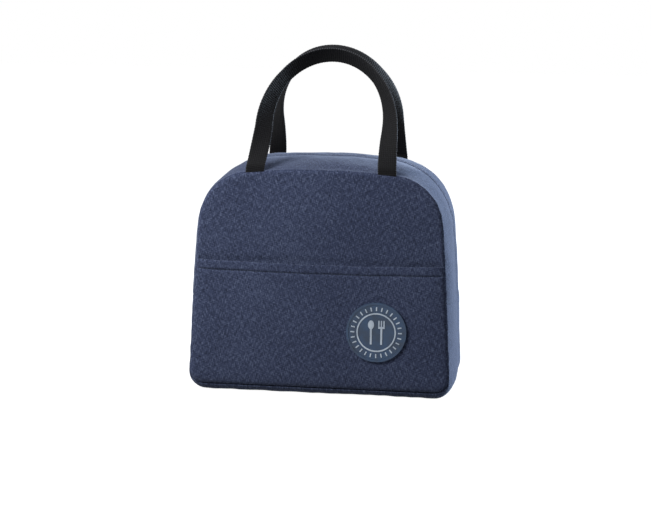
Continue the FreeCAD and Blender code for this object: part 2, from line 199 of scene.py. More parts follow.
def woven_webbing(name, dark, light):
    """Heavy polypropylene webbing: close ribs across a strap, each a row of floats, nearly black, with a
    painted dull lustre, the colour lighter on the tops of the ribs, and a painted highlight along the
    selvedge."""
    material, tree, surface = new_material(name)
    cloth = add(tree, "UVMap", uv_map="cloth_mm")
    lengthways = add(tree, "Mapping", {"Vector": cloth, "Scale": per_mm(1.9, 1e6)})
    ribs = add(tree, "TexWave", {"Vector": lengthways, "Scale": one_wave}, bands_direction="X")
    sideways = add(tree, "Mapping", {"Vector": cloth, "Scale": per_mm(1e6, 1.6)})
    rows = add(tree, "TexWave", {"Vector": sideways, "Scale": one_wave}, bands_direction="Y")
    grain = cloth_mottle(tree, cloth, 3.0, 0.8, 3.0)
    weave = add(tree, "Mix", {"Factor": 0.4, "A": ribs.outputs["Fac"], "B": rows.outputs["Fac"]})
    tone = add(tree, "Mix", {"Factor": 0.5, "A": weave, "B": grain})
    # Painted highlight: the colour follows the same weave as the bump, so the tops of the ribs are lighter.
    colour = add(tree, "ValToRGB", {"Fac": tone}, [(0.25, dark), (0.8, light)])
    width = add(tree, "SeparateXYZ", {"Vector": cloth})
    from_middle = add(tree, "Math", {0: width.outputs["Y"]}, operation="ABSOLUTE")
    # Painted highlight: along the strap's edges the colour is lightened towards #55565b on the tops of the
    # ribs.
    selvedge = add(tree, "MapRange", {"Value": from_middle, "From Min": 7.1, "From Max": 7.9,
                                      "To Max": 0.55})
    painted_edge_highlight = add(tree, "Math", {0: selvedge, 1: ribs.outputs["Fac"]}, operation="MULTIPLY")
    highlit_edge_colour = add(tree, "Mix", {"Factor": painted_edge_highlight, "A": colour,
                               "B": ink("#55565b")}, data_type="RGBA")
    bump = add(tree, "Bump", {"Height": weave, "Strength": 0.55, "Distance": 0.0005})
    wire(tree, surface, {"Base Color": highlit_edge_colour.outputs["Result"], "Normal": bump,
                         "Roughness": 0.7, "Specular IOR Level": 0.1, "Sheen Weight": 0.05,
                         "Sheen Tint": ink("#8b8d96")})
    return material


def pressed_foil(name):
    """Aluminised film pressed on to thin foam: silver and bright, with a net of creases and small dents."""
    material, tree, surface = new_material(name)
    cloth = add(tree, "UVMap", uv_map="cloth_mm")
    net = add(tree, "Mapping", {"Vector": cloth, "Scale": per_mm(11.0, 11.0)})
    crease = add(tree, "TexVoronoi", {"Vector": net, "Scale": 1.0}, feature="DISTANCE_TO_EDGE")
    dent = cloth_mottle(tree, cloth, 5.0, 5.0, 4.0)
    # Painted shade: the colour follows the dents that also make the bump, darker where the film sinks and
    # lighter where it rises.
    colour = add(tree, "ValToRGB", {"Fac": dent}, [(0.3, "#8b8e92"), (0.7, "#b4b6b9")])
    rough = add(tree, "MapRange", {"Value": dent, "To Min": 0.16, "To Max": 0.32})
    height = add(tree, "Math", {0: crease, 1: dent}, operation="ADD")
    bump = add(tree, "Bump", {"Height": height, "Strength": 0.5, "Distance": 0.0012})
    wire(tree, surface, {"Base Color": colour, "Roughness": rough,
                         "Normal": bump, "Metallic": 0.85})
    return material


def narrow_tape(name, dark, light, rib):
    """Polyester tape: slanting ribs of flat threads, matt, with a painted highlight: the threads a little
    lighter on top.
    """
    material, tree, surface = new_material(name)
    cloth = add(tree, "UVMap", uv_map="cloth_mm")
    ribbed = add(tree, "Mapping", {"Vector": cloth, "Scale": per_mm(rib, rib)})
    slant = add(tree, "TexWave", {"Vector": ribbed, "Scale": one_wave, "Distortion": 0.6},
                bands_direction="DIAGONAL")
    grain = cloth_mottle(tree, cloth, 0.9, 2.4, 2.0)
    tone = add(tree, "Mix", {"Factor": 0.5, "A": slant.outputs["Fac"], "B": grain})
    # Painted highlight: the colour follows the slanting ribs that also make the bump, so the thread tops are
    # lighter.
    colour = add(tree, "ValToRGB", {"Fac": tone}, [(0.25, dark), (0.75, light)])
    bump = add(tree, "Bump", {"Height": slant.outputs["Fac"], "Strength": 0.4, "Distance": 0.0003})
    wire(tree, surface, {"Base Color": colour, "Normal": bump,
                         "Roughness": 0.85})
    return material


def moulded_pvc(name, dark, light):
    """Soft moulded PVC: an even colour with a slight bloom, a satin skin and a fine moulding grain."""
    material, tree, surface = new_material(name)
    bloom = solid_mottle(tree, 9.0, 3.0)
    grain = solid_mottle(tree, 0.7, 2.0)
    colour = add(tree, "ValToRGB", {"Fac": bloom}, [(0.35, dark), (0.65, light)])
    rough = add(tree, "MapRange", {"Value": bloom, "To Min": 0.42, "To Max": 0.58})
    bump = add(tree, "Bump", {"Height": grain, "Strength": 0.15, "Distance": 0.0002})
    wire(tree, surface, {"Base Color": colour, "Roughness": rough,
                         "Normal": bump, "IOR": 1.52})
    return material


def plated_zinc(name):
    """Die-cast zinc with a dark nickel plate: smooth and bright, dulled by a thin haze and fine rub marks."""
    material, tree, surface = new_material(name)
    haze = solid_mottle(tree, 4.0, 4.0)
    rub = solid_mottle(tree, 0.5, 2.0)
    colour = add(tree, "ValToRGB", {"Fac": haze}, [(0.3, "#4c4e54"), (0.7, "#74767c")])
    rough = add(tree, "MapRange", {"Value": rub, "To Min": 0.24, "To Max": 0.42})
    bump = add(tree, "Bump", {"Height": rub, "Strength": 0.1, "Distance": 0.0002})
    wire(tree, surface, {"Base Color": colour, "Roughness": rough,
                         "Normal": bump, "Metallic": 1.0})
    return material


def nylon_coil(name):
    """Extruded nylon wire: near black, smooth, with a soft waxy gloss."""
    material, tree, surface = new_material(name)
    haze = solid_mottle(tree, 2.0, 2.0)
    colour = add(tree, "ValToRGB", {"Fac": haze}, [(0.3, "#15171c"), (0.7, "#23262e")])
    rough = add(tree, "MapRange", {"Value": haze, "To Min": 0.32, "To Max": 0.5})
    wire(tree, surface, {"Base Color": colour, "Roughness": rough, "IOR": 1.53})
    return material


def spun_thread(name, dark, light):
    """Polyester sewing thread: two plies twisted together, with a painted highlight: lighter on top of the
    twist.
    """
    material, tree, surface = new_material(name)
    twist = solid_mottle(tree, 0.8, 2.0)
    # Painted highlight: the colour follows the twist that also makes the bump, so the tops of the plies are
    # lighter.
    colour = add(tree, "ValToRGB", {"Fac": twist}, [(0.35, dark), (0.65, light)])
    bump = add(tree, "Bump", {"Height": twist, "Strength": 0.4, "Distance": 0.0002})
    wire(tree, surface, {"Base Color": colour, "Normal": bump,
                         "Roughness": 0.7})
    return material


outer_cloth = heathered_polyester("heathered_polyester", "#181c2a", "#31384f", "#555e76")
handle_weave = woven_webbing("polypropylene_webbing", "#050506", "#111113")
lining_foil = pressed_foil("aluminised_film")
seam_tape = narrow_tape("polyester_binding", "#14171f", "#272c3a", 1.6)
zip_weave = narrow_tape("polyester_zip_tape", "#1a2030", "#2e374c", 1.2)
coil_nylon = nylon_coil("nylon_coil")
zip_zinc = plated_zinc("dark_nickel_zinc")
badge_blue = moulded_pvc("navy_moulded_pvc", "#15273c", "#1b3450")
badge_pale = moulded_pvc("pale_moulded_pvc", "#96a1af", "#b0bac6")
sewing_thread = spun_thread("navy_sewing_thread", "#1d2434", "#39435a")


# Shapes that the pieces share

def outline_places(share):
    """The bag's outline from the front, at a share of the gusset's crown: places and outward directions,
    from the bottom middle round to it again, the same number for every share."""
    taper = side_taper
    corner = corner_radius + share * corner_ease
    shoulder = shoulder_radius + share * shoulder_ease
    top = top_arc_radius + share * top_crown
    base = bottom_seam - share * base_crown
    side_x = panel_width / 2 + share * side_crown / math.cos(taper)
    top_middle = top_seam - top_arc_radius
    corner_x = side_x + (bottom_seam - base) * math.tan(taper)
    corner_x -= corner * (1 + math.sin(taper)) / math.cos(taper)
    start_x = side_x - shoulder * math.cos(taper)
    start_z = bottom_seam - shoulder * math.sin(taper)
    along = -start_x * math.sin(taper) + (start_z - top_middle) * math.cos(taper)
    apart = start_x ** 2 + (start_z - top_middle) ** 2 - (top - shoulder) ** 2
    climb = -along + math.sqrt(along ** 2 - apart)
    shoulder_x = start_x - climb * math.sin(taper)
    shoulder_z = start_z + climb * math.cos(taper)
    shoulder_end = math.atan2(shoulder_z - top_middle, shoulder_x)

    def bend(x, z, radius, first, last, count):
        angles = np.linspace(first, last, count)
        out = np.stack([np.cos(angles), np.sin(angles)], 1)
        return np.array([x, z]) + radius * out, out

    bends = [
        bend(corner_x, base + corner, corner, -math.pi / 2, taper, 24),
        bend(shoulder_x, shoulder_z, shoulder, taper, shoulder_end, 70),
        bend(0, top_middle, top, shoulder_end, math.pi / 2, 60),
    ]
    places = np.concatenate([[[0.0, base]]] + [b[0] for b in bends])
    outs = np.concatenate([[[0.0, -1.0]]] + [b[1] for b in bends])
    flip = np.array([-1.0, 1.0])
    return np.concatenate([places, places[-2::-1] * flip]), np.concatenate([outs, outs[-2::-1] * flip])


seam_places, seam_outs = outline_places(0.0)
crown_moves = outline_places(1.0)[0] - seam_places
seam_marks = np.concatenate([[0.0], np.cumsum(np.linalg.norm(np.diff(seam_places, axis=0), axis=1))])
seam_length = seam_marks[-1]
half_seam = seam_length / 2


def on_form(distance, share, inset):
    """Places x and z at a distance round the seam, at a share of the crown, moved inwards by inset."""
    distance = np.mod(distance, seam_length)
    x, z, move_x, move_z, out_x, out_z = [
        np.interp(distance, seam_marks, values) for values in (*seam_places.T, *crown_moves.T, *seam_outs.T)
    ]
    return x + move_x * share - out_x * inset, z + move_z * share - out_z * inset


def outward(distance):
    """Outward direction at a distance round the seam, as x, y and z."""
    distance = np.mod(distance, seam_length)
    x, z = [np.interp(distance, seam_marks, values) for values in seam_outs.T]
    return np.stack([x, np.zeros_like(x), z], -1)


def seam_mark_at(height):
    """Distance along the seam's right side at which it has that height."""
    right = seam_marks <= half_seam
    return float(np.interp(height, seam_places[right, 1], seam_marks[right]))


def crown_share(depth, distance):
    """Share of the crown reached at a depth in from the nearer panel. The base drops off steeply."""
    depth = np.minimum(depth, 2 * half_depth - np.asarray(depth, float))
    easy = 1 - (1 - np.clip(depth / crown_run, 0, 1)) ** 2
    steep = 1 - (1 - np.clip((depth + base_lead) / base_run, 0, 1)) ** 3
    down = np.clip(-outward(distance)[..., 2], 0, 1)
    return easy * (1 - down) + steep * down


def uneven(places, size, seed):
    """Soft unevenness between -1 and 1, at places in millimetres, with lumps of that size."""
    flat = np.asarray(places, float).reshape(-1, 3) / size + seed
    values = [noise.noise(Vector(p)) for p in flat]
    return np.array(values).reshape(np.shape(places)[:-1])


def finish_mesh(name, places, faces, weave, material):
    """A piece from places in millimetres, faces by number, and cloth coordinates in millimetres."""
    mesh = bpy.data.meshes.new(name)
    mesh.from_pydata((np.asarray(places, float) * mm).tolist(), [], faces)
    piece = bpy.data.objects.new(name, mesh)
    scene.collection.objects.link(piece)
    layer = mesh.uv_layers.new(name="cloth_mm")
    corners = np.zeros(len(mesh.loops), np.int32)
    mesh.loops.foreach_get("vertex_index", corners)
    layer.data.foreach_set("uv", np.asarray(weave, np.float32)[corners].ravel())
    tidy = bmesh.new()
    tidy.from_mesh(mesh)
    bmesh.ops.recalc_face_normals(tidy, faces=tidy.faces)
    tidy.to_mesh(mesh)
    tidy.free()
    mesh.polygons.foreach_set("use_smooth", np.ones(len(mesh.polygons), bool))
    mesh.materials.append(material)
    mesh.update()
    return piece


def grid_faces(rows, cols, first=0):
    """Four-sided faces of a grid of places, numbered row by row."""
    numbers = first + np.arange(rows * cols).reshape(rows, cols)
    corners = [numbers[:-1, :-1], numbers[:-1, 1:], numbers[1:, 1:], numbers[1:, :-1]]
    return np.stack([c.ravel() for c in corners], 1).tolist()


def shell_faces(rows, cols, first=0):
    """Faces of two grids, one after the other, joined round their edges."""
    count = rows * cols
    numbers = first + np.arange(count).reshape(rows, cols)
    edge = np.concatenate([numbers[0, :-1], numbers[:-1, -1], numbers[-1, :0:-1], numbers[:0:-1, 0]])
    ahead = np.roll(edge, -1)
    rim = np.stack([edge, ahead, ahead + count, edge + count], 1).tolist()
    return grid_faces(rows, cols, first) + grid_faces(rows, cols, first + count) + rim


def tube_faces(rows, cols):
    """Faces of a closed tube: rings of places one after the other, with its two ends capped."""
    numbers = np.arange(rows * cols).reshape(rows, cols)
    ahead = np.roll(numbers, -1, 1)
    faces = np.stack([numbers[:-1], ahead[:-1], ahead[1:], numbers[1:]], 2).reshape(-1, 4).tolist()
    return faces + [numbers[0].tolist(), numbers[-1].tolist()]


def shell(name, outer, inner, weave, material):
    """A closed sheet or pad: two grids of places, the same rows and columns, joined round their edges."""
    rows, cols = outer.shape[:2]
    places = np.concatenate([outer.reshape(-1, 3), inner.reshape(-1, 3)])
    cloth = np.concatenate([weave.reshape(-1, 2)] * 2)
    return finish_mesh(name, places, shell_faces(rows, cols), cloth, material)


def smoother(piece):
    """Rounds a piece with one level of a subdivision surface."""
    round_off = piece.modifiers.new("rounded", "SUBSURF")
    round_off.levels = 1
    round_off.render_levels = 1
    return piece


def edge_spaced(length, last_end=True):
    """Shares of a length from 0 to 1, about a cell apart, closing up towards the ends that are sewn."""
    start = [0.0, 0.35, 0.8, 1.4, 2.2, 3.4, 5.0]
    end = [length - c for c in reversed(start)] if last_end else [length]
    count = int(round((end[0] - start[-1]) / cell))
    middle = np.linspace(start[-1], end[0], count + 1)[1:-1]
    return np.concatenate([start, middle, end]) / length


# Distances along the seam's right side, to where a panel's grid turns upwards, to where it turns over the top,
# and to the fold
corner_mark = seam_mark_at(bottom_seam + corner_radius * 0.3)
shoulder_mark = seam_mark_at(bottom_seam + shoulder_turn)
fold_mark = seam_mark_at(fold_height)


def panel_grid(inset, across, up, mouth=None):
    """Places x and z that fill the outline, or its lower part up to the pocket's mouth. Across and up are
    shares from 0 to 1 of the way from left to right and from bottom to top."""
    def run(first, last, shares):
        return np.stack(on_form(first + (last - first) * shares, 0.0, inset), 1)

    bottom = run(-corner_mark, corner_mark, across)
    if mouth is None:
        right = run(corner_mark, shoulder_mark, up)
        left = run(-corner_mark, -shoulder_mark, up)
        top = run(seam_length - shoulder_mark, shoulder_mark, across)
    else:
        end = seam_mark_at(mouth)
        right = run(corner_mark, end, up)
        left = run(-corner_mark, -end, up)
        top = left[-1] + (right[-1] - left[-1]) * across[:, None]
    u, v = across[None, :, None], up[:, None, None]
    ruled = (1 - v) * bottom[None] + v * top[None] + (1 - u) * left[:, None] + u * right[:, None]
    corners = (1 - u) * (1 - v) * bottom[0] + u * (1 - v) * bottom[-1]
    return ruled - corners - (1 - u) * v * top[0] - u * v * top[-1]


def to_seam(flat):
    """Distance from each place on a panel to the seam round it."""
    fine = np.stack(on_form(np.linspace(0, seam_length, 900), 0.0, 0.0), 1)
    nearest = [np.sqrt(((fine - spot) ** 2).sum(1).min()) for spot in flat.reshape(-1, 2)]
    return np.array(nearest).reshape(flat.shape[:2])


def billow(flat, slack, push):
    """The form in which a sewn cloth lets itself out: pinned round its edge, a little too large, pushed from
    behind. Returns the distance out at each place of an even grid, as a share of the greatest."""
    frames = 24
    rows, cols = flat.shape[:2]
    start = np.stack([flat[..., 0], np.zeros((rows, cols)), flat[..., 1]], 2)
    mesh = bpy.data.meshes.new("slack_cloth")
    mesh.from_pydata((start.reshape(-1, 3) * mm).tolist(), [], grid_faces(rows, cols))
    piece = bpy.data.objects.new("slack_cloth", mesh)
    scene.collection.objects.link(piece)
    inner = np.zeros((rows, cols), bool)
    inner[1:-1, 1:-1] = True
    sewn = piece.vertex_groups.new(name="sewn")
    sewn.add([int(i) for i in np.flatnonzero(~inner.ravel())], 1.0, "REPLACE")
    cloth = piece.modifiers.new("slack", "CLOTH")
    cloth.settings.quality = 5
    cloth.settings.mass = 0.02
    cloth.settings.tension_stiffness = 25
    cloth.settings.compression_stiffness = 25
    cloth.settings.shear_stiffness = 8
    cloth.settings.bending_stiffness = 0.6
    cloth.settings.air_damping = 6
    cloth.settings.vertex_group_mass = "sewn"
    cloth.settings.shrink_min = -slack
    cloth.settings.use_pressure = True
    cloth.settings.uniform_pressure_force = push
    cloth.settings.effector_weights.gravity = 0
    cloth.point_cache.frame_start = 1
    cloth.point_cache.frame_end = frames
    for number in range(1, frames + 1):
        scene.frame_set(number)
    seen = piece.evaluated_get(bpy.context.evaluated_depsgraph_get()).to_mesh()
    places = np.zeros(rows * cols * 3, np.float32)
    seen.vertices.foreach_get("co", places)
    bpy.data.objects.remove(piece)
    scene.frame_set(1)
    out = np.abs(places.reshape(rows, cols, 3)[..., 1]) / mm
    return out / max(out.max(), 1e-6)


def spread(values, even_up, even_across, up, across):
    """Values on an even grid, read at other shares up and across."""
    rows = np.stack([np.interp(across, even_across, row) for row in values])
    return np.stack([np.interp(up, even_up, column) for column in rows.T], 1)


def fold_with(piece):
    """Bakes the piece's transform into its mesh; the piece does not bend at the fold."""
    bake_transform(piece)
    return piece


def mirrored_y(places):
    """The same places at the back of the bag."""
    return places * np.array([1.0, -1.0, 1.0])


# Padded panels

even_up, even_across = np.linspace(0, 1, 45), np.linspace(0, 1, 53)
slack_cloth = billow(panel_grid(0.0, even_across, even_up), 0.01, 3.0)

panel_across = edge_spaced(225.0)
panel_up = edge_spaced(180.0)


def panel_face(seed, under_pocket):
    """Outer face of a padded panel: crisp at the seam, filled out between, a little uneven. Under the pocket
    it stays flat, with a shadow gap at the pocket's mouth."""
    flat = panel_grid(-0.25, panel_across, panel_up)
    edge = to_seam(flat)
    full = spread(slack_cloth, even_up, even_across, panel_up, panel_across)
    spots = np.concatenate([flat, edge[..., None] * 0.3], 2)
    lumps = 0.65 * uneven(spots, 42.0, seed) + 0.28 * uneven(spots, 17.0, seed + 6.0)
    pucker = 0.5 * uneven(spots, 9.0, seed + 3.1) * np.exp(-edge / 7.0)
    above = np.clip((flat[..., 1] - pocket_mouth) / 45.0, 0, 1) if under_pocket else 1.0
    rise = 0.5 + 1.6 * above * above * (3 - 2 * above)
    seam_roll = 1.3 * (1 - np.exp(-edge / 0.7))
    out = seam_roll + rise * full + (lumps + pucker) * np.clip(edge / 6.0, 0, 1)
    if under_pocket:
        below_mouth = 1 / (1 + np.exp((flat[..., 1] - pocket_mouth - 3.0) / 2.0))
        out = out * (1 - below_mouth) + np.minimum(out, 1.7) * below_mouth
        out -= 1.5 * np.exp(-((flat[..., 1] - pocket_mouth + 0.5) / 3.0) ** 2) * np.clip(edge / 3.0, 0, 1)
    return np.stack([flat[..., 0], -half_depth + 1.0 - out, flat[..., 1]], 2), flat


behind_flat = panel_grid(1.4, panel_across, panel_up)
behind_y = np.full(behind_flat.shape[:2], -half_depth + 4.6)
behind = np.stack([behind_flat[..., 0], behind_y, behind_flat[..., 1]], 2)
for name, flap, side, seed in (("front", "front_flap", -1, 11.0), ("back", "rear_flap", 1, 47.0)):
    face, flat = panel_face(seed, side < 0)
    back = behind
    if side > 0:
        face, back = mirrored_y(face), mirrored_y(behind)
    panel = smoother(shell(f"{name}_panel_padded", face, back, flat + seed * 10, outer_cloth))
    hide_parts(f"{name}_panel", f"{name}_foam_lower", f"{name}_foam_upper")
    fold_with(panel)


# Slip pocket

pocket_across = edge_spaced(228.0)
hem_steps = np.array([2.6, 1.5, 0.8, 0.35, 0.0, -0.35, -0.8, -1.6, -3.0, -5.0])  # close to the stitches at 0
hem_shares = 1 - (hem_drop + hem_steps) / pocket_run
stitch_share = hem_shares[4]
low_shares = edge_spaced(pocket_run, False)
low_shares = low_shares[low_shares < hem_shares[0] - 0.01]
pocket_up = np.concatenate([low_shares, hem_shares, 1 - np.array([1.4, 0.6, 0.2, 0.0]) / pocket_run])


def pocket_grid():
    """Outer face of the pocket: sewn in at the sides and bottom, smooth under the badge, and hemmed at its
    mouth, which hangs a little low in the middle."""
    flat = panel_grid(-0.3, pocket_across, pocket_up, pocket_mouth)
    across = np.clip(np.abs(flat[..., 0]) / (panel_width / 2 - 8), 0, 1)
    ripple = 0.5 * uneven(np.stack([flat[..., 0], flat[..., 0] * 0, flat[..., 0] * 0], 2), 26.0, 7.0)
    flat[..., 1] -= (2.0 * (1 - across ** 2) + ripple) * pocket_up[:, None] ** 4
    edge = to_seam(flat)
    spots = np.concatenate([flat, edge[..., None] * 0.3], 2)
    from_badge = np.hypot(flat[..., 0] - badge_x, flat[..., 1] - badge_z)
    loose = np.clip((from_badge - badge_radius) / 20.0, 0, 1)
    lumps = 0.5 * uneven(spots, 40.0, 5.0) + 0.22 * uneven(spots, 15.0, 9.0) + 0.35
    pucker = 0.35 * uneven(spots, 8.0, 21.0) * np.exp(-edge / 7.0)
    out = 1.9 * (1 - np.exp(-edge / 0.7)) + 1.3 * (1 - np.exp(-edge / 9.0))
    out += (lumps + pucker) * loose * np.clip(edge / 6.0, 0, 1)
    from_stitches = (pocket_up - stitch_share)[:, None] * pocket_run
    from_mouth = (1 - pocket_up[:, None]) * pocket_run
    hem = np.clip(from_stitches / 1.2, 0, 1) * np.clip(from_mouth, 0, 1)
    puff = hem * (0.45 + 0.3 * uneven(spots, 10.0, 33.0))
    groove = np.exp(-(from_stitches / 0.8) ** 2)
    out += (puff - groove) * np.clip(edge / 3.0, 0, 1)
    return np.stack([flat[..., 0], -half_depth + 1.0 - out, flat[..., 1]], 2), flat


pocket_out, pocket_flat = pocket_grid()
pocket_in = pocket_out.copy()
pocket_in[..., 1] += np.where(pocket_up > stitch_share, 1.2, 0.7)[:, None]
pocket_in[..., 1] = np.minimum(pocket_in[..., 1], -half_depth + 0.6)
pocket = smoother(shell("front_pocket_cloth", pocket_out, pocket_in, pocket_flat + 140.0, outer_cloth))
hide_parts("front_pocket")
fold_with(pocket)


def stitch_row(name, places, ups):
    """A row of thread stitches along a line of places, each a short round-ended bead set in the cloth."""
    marks = np.concatenate([[0.0], np.cumsum(np.linalg.norm(np.diff(places, axis=0), axis=1))])
    count = int(marks[-1] / (stitch_length + stitch_gap))
    ring = np.linspace(0, 2 * math.pi, 7)[:-1]
    ends = np.array([-0.5, -0.42, -0.2, 0.2, 0.42, 0.5])
    girth = np.array([0.25, 0.75, 1.0, 1.0, 0.75, 0.25])
    spots, faces = [], []
    for number in range(count):
        middle = (number + 0.5) * marks[-1] / count
        line = np.stack([np.interp(middle + ends * stitch_length, marks, places[:, k]) for k in range(3)], 1)
        up = np.array([np.interp(middle, marks, ups[:, k]) for k in range(3)])
        along = (line[-1] - line[0]) / np.linalg.norm(line[-1] - line[0])
        side = np.cross(along, up)
        first = len(spots)
        for station, size in zip(line, girth):
            for angle in ring:
                spots.append(station + thread_radius * size * (math.cos(angle) * side + math.sin(angle) * up))
        for row in range(len(ends) - 1):
            for k in range(6):
                a, b = first + row * 6 + k, first + row * 6 + (k + 1) % 6
                faces.append([a, b, b + 6, a + 6])
        faces.append([first + k for k in range(6)])
        faces.append([first + 6 * (len(ends) - 1) + k for k in range(6)])
    return finish_mesh(name, spots, faces, np.zeros((len(spots), 2)), sewing_thread)


hem_row = len(low_shares) + 4
hem_line = pocket_out[hem_row, 6:-6]
facing = np.tile([0.0, -1.0, 0.0], (len(hem_line), 1))
hem_stitches = stitch_row("pocket_hem_stitches", hem_line, facing)
fold_with(hem_stitches)


# Gusset

def gusset_grid(marks, depths, insets, share_depths=None):
    """A strip round the bag: rows at distances along the seam, columns at depths in from the front panel,
    each with its inset from the crowned form."""
    depths = np.asarray(depths, float)[None]
    marks = np.asarray(marks, float)[:, None]
    share = crown_share(depths if share_depths is None else np.asarray(share_depths, float)[None], marks)
    x, z = on_form(marks, share, insets)
    y = np.broadcast_to(depths - half_depth, x.shape)
    cloth = np.stack(np.broadcast_arrays(marks, depths), 2).astype(float)
    return np.stack([x, y, z], 2), cloth


def strip_marks(first, last):
    """Distances along a strip, 2 mm apart and closer together at its two sewn ends."""
    ends = np.array([0.0, 0.3, 0.7, 1.3, 2.2])
    middle = np.arange(first + 3.6, last - 3.6, 2.0)
    return np.concatenate([first + ends, middle, (last - ends)[::-1]])


def soften(grid, cloth):
    """Puckers along the seams, soft lumps over the rest, fuller sides, calm edges by the zip and rolled-in
    ends, all along the outward direction."""
    from_seam = np.clip(np.minimum(cloth[..., 1], 2 * half_depth - cloth[..., 1]) - 1.0, 0, None)
    spots = np.concatenate([cloth, np.zeros(cloth.shape[:2] + (1,))], 2)
    pucker = 0.8 * uneven(spots * np.array([1.0, 0.3, 1.0]), 9.0, 2.0) * np.exp(-from_seam / 9.0)
    lumps = 0.8 * uneven(spots * np.array([0.6, 1.0, 1.0]), 26.0, 13.0) + 0.3 * uneven(spots, 11.0, 17.0)
    move = lump_strength * (pucker + lumps * np.clip(from_seam / 14.0, 0, 1)) * np.clip(from_seam / 2.0, 0, 1)
    sideways = np.abs(outward(cloth[..., 0])[..., 0]) ** 3
    mid_height = np.exp(-((grid[..., 2] - 100.0) / 58.0) ** 2)
    full = side_fullness * mid_height * sideways * (1 - np.exp(-from_seam / 4.0))
    from_end = np.minimum(cloth[..., 0] - cloth[0, 0, 0], cloth[-1, 0, 0] - cloth[..., 0])
    move = move * np.clip(from_end / 3.0, 0, 1) + full
    by_zip = np.exp(-((cloth[..., 1] - half_depth) / 9.0) ** 2) * np.clip((110.0 - from_end) / 20.0, 0, 1)
    move = (move - 0.25) * (1 - by_zip) + 0.25 - 0.3 * by_zip
    move = move - 0.6 * np.exp(-from_end / 0.9)
    return grid + outward(cloth[..., 0]) * move[..., None]


lip_depths = [3.4, 2.2, 1.5, 1.15, 1.0, 1.1, 1.5, 2.2, 3.4]
lip_insets = [3.0, 2.0, 1.25, 0.7, 0.2, -0.15, -0.3, -0.3, -0.15]
run_depths = [5.0, 7.5, 10.5, 14.0, 18.0, 22.0, 26.5, 31.0, 36.0, 41.0, 46.0, 50.0, 53.0]

# Lower gusset, one strip from fold to fold under the bag
front_half = lip_depths + run_depths + [57.0]
front_inset = lip_insets + [0.0] * (len(run_depths) + 1)
whole_depths = np.array(front_half + [half_depth] + [2 * half_depth - d for d in reversed(front_half)])
whole_insets = np.array(front_inset + [0.0] + front_inset[::-1])
low_marks = strip_marks(-fold_mark + 0.1, fold_mark - 0.1)
low_outer, low_cloth = gusset_grid(low_marks, whole_depths, whole_insets)
low_outer = soften(low_outer, low_cloth)
low_outer[..., 2] = np.maximum(low_outer[..., 2], 0.05)
low_thick = 1.0 + 3.6 * np.clip((np.minimum(whole_depths, 2 * half_depth - whole_depths) - 1.0) / 5.0, 0, 1)
inner_depths = np.clip(whole_depths, inner_lip, 2 * half_depth - inner_lip)
low_inner, _ = gusset_grid(low_marks, inner_depths, np.maximum(whole_insets, 0) + low_thick)
lower_gusset = shell("lower_gusset_padded", low_outer, low_inner, low_cloth, outer_cloth)
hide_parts("lower_gusset", "base_foam", "left_side_foam", "right_side_foam")
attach(lower_gusset, "body")

# Upper gusset strips, front and rear, with the turned edges that hide the zip
edge_depths = [55.2, 56.2, 57.4, 58.6, 59.5, 60.1, 60.25, 60.0]
edge_insets = [0.45, 0.35, 0.2, 0.15, 0.2, 0.45, 0.9, 1.5]
strip_depths = np.array(lip_depths + run_depths + edge_depths)
strip_insets = np.array(lip_insets + [0.0] * len(run_depths) + edge_insets)
top_marks = strip_marks(fold_mark + 0.1, seam_length - fold_mark - 0.1)
strip_outer, strip_cloth = gusset_grid(top_marks, strip_depths, strip_insets)
strip_outer = soften(strip_outer, strip_cloth)
strip_thick = 1.0 + 3.6 * np.clip((strip_depths - 1.0) / 5.0, 0, 1)
strip_thick = np.where(strip_depths > half_depth - 14.5, 1.4, strip_thick)
strip_inner, _ = gusset_grid(top_marks, np.maximum(strip_depths, inner_lip),
                             np.maximum(strip_insets, 0) + strip_thick)
stitch_column = len(lip_depths) + len(run_depths)
for flap, side in (("front", -1), ("rear", 1)):
    outer = strip_outer if side < 0 else mirrored_y(strip_outer)
    inner = strip_inner if side < 0 else mirrored_y(strip_inner)
    weave = strip_cloth + (0.0 if side < 0 else 500.0)
    strip = shell(f"top_gusset_{flap}_padded", outer, inner, weave, outer_cloth)
    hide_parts(f"top_gusset_{flap}", f"top_foam_{flap}")
    fold_with(strip)
    line = outer[6:-6, stitch_column]
    edge_stitches = stitch_row(f"zip_edge_stitches_{flap}", line, outward(top_marks[6:-6]))
    fold_with(edge_stitches)


# Zip tapes and coils

zip_marks = np.arange(fold_mark + 0.4, seam_length - fold_mark - 0.3, 2.0)


def coil_row(name, side):
    """A nylon wire wound along the tape's edge, one turn for each tooth, between the turns of the other half.
    Its middle is 1.05 mm from the zip's middle and it winds 1.35 mm to each side, so the halves mesh."""
    start, end = fold_mark + 1.0, seam_length - fold_mark - 1.0
    turns = int((end - start) / coil_pitch)
    share = np.arange(turns * 10 + 1) / (turns * 10)
    angle = 2 * math.pi * turns * share + (0.0 if side < 0 else math.pi)
    marks = start + (end - start) * share
    x, z = on_form(marks, 1.0, 4.1 - 0.6 * np.sin(angle))
    line = np.stack([x, side * (1.05 + 1.35 * np.cos(angle)), z], 1)
    along = np.gradient(line, axis=0)
    along /= np.linalg.norm(along, axis=1, keepdims=True)
    across = np.cross(along, outward(marks))
    across /= np.linalg.norm(across, axis=1, keepdims=True)
    up = np.cross(across, along)
    ring = np.linspace(0, 2 * math.pi, 6)[:-1]
    places = np.stack([line + coil_wire * (math.cos(a) * across + math.sin(a) * up) for a in ring], 1)
    return finish_mesh(name, places.reshape(-1, 3), tube_faces(*places.shape[:2]),
                       np.zeros((places.shape[0] * places.shape[1], 2)), coil_nylon)


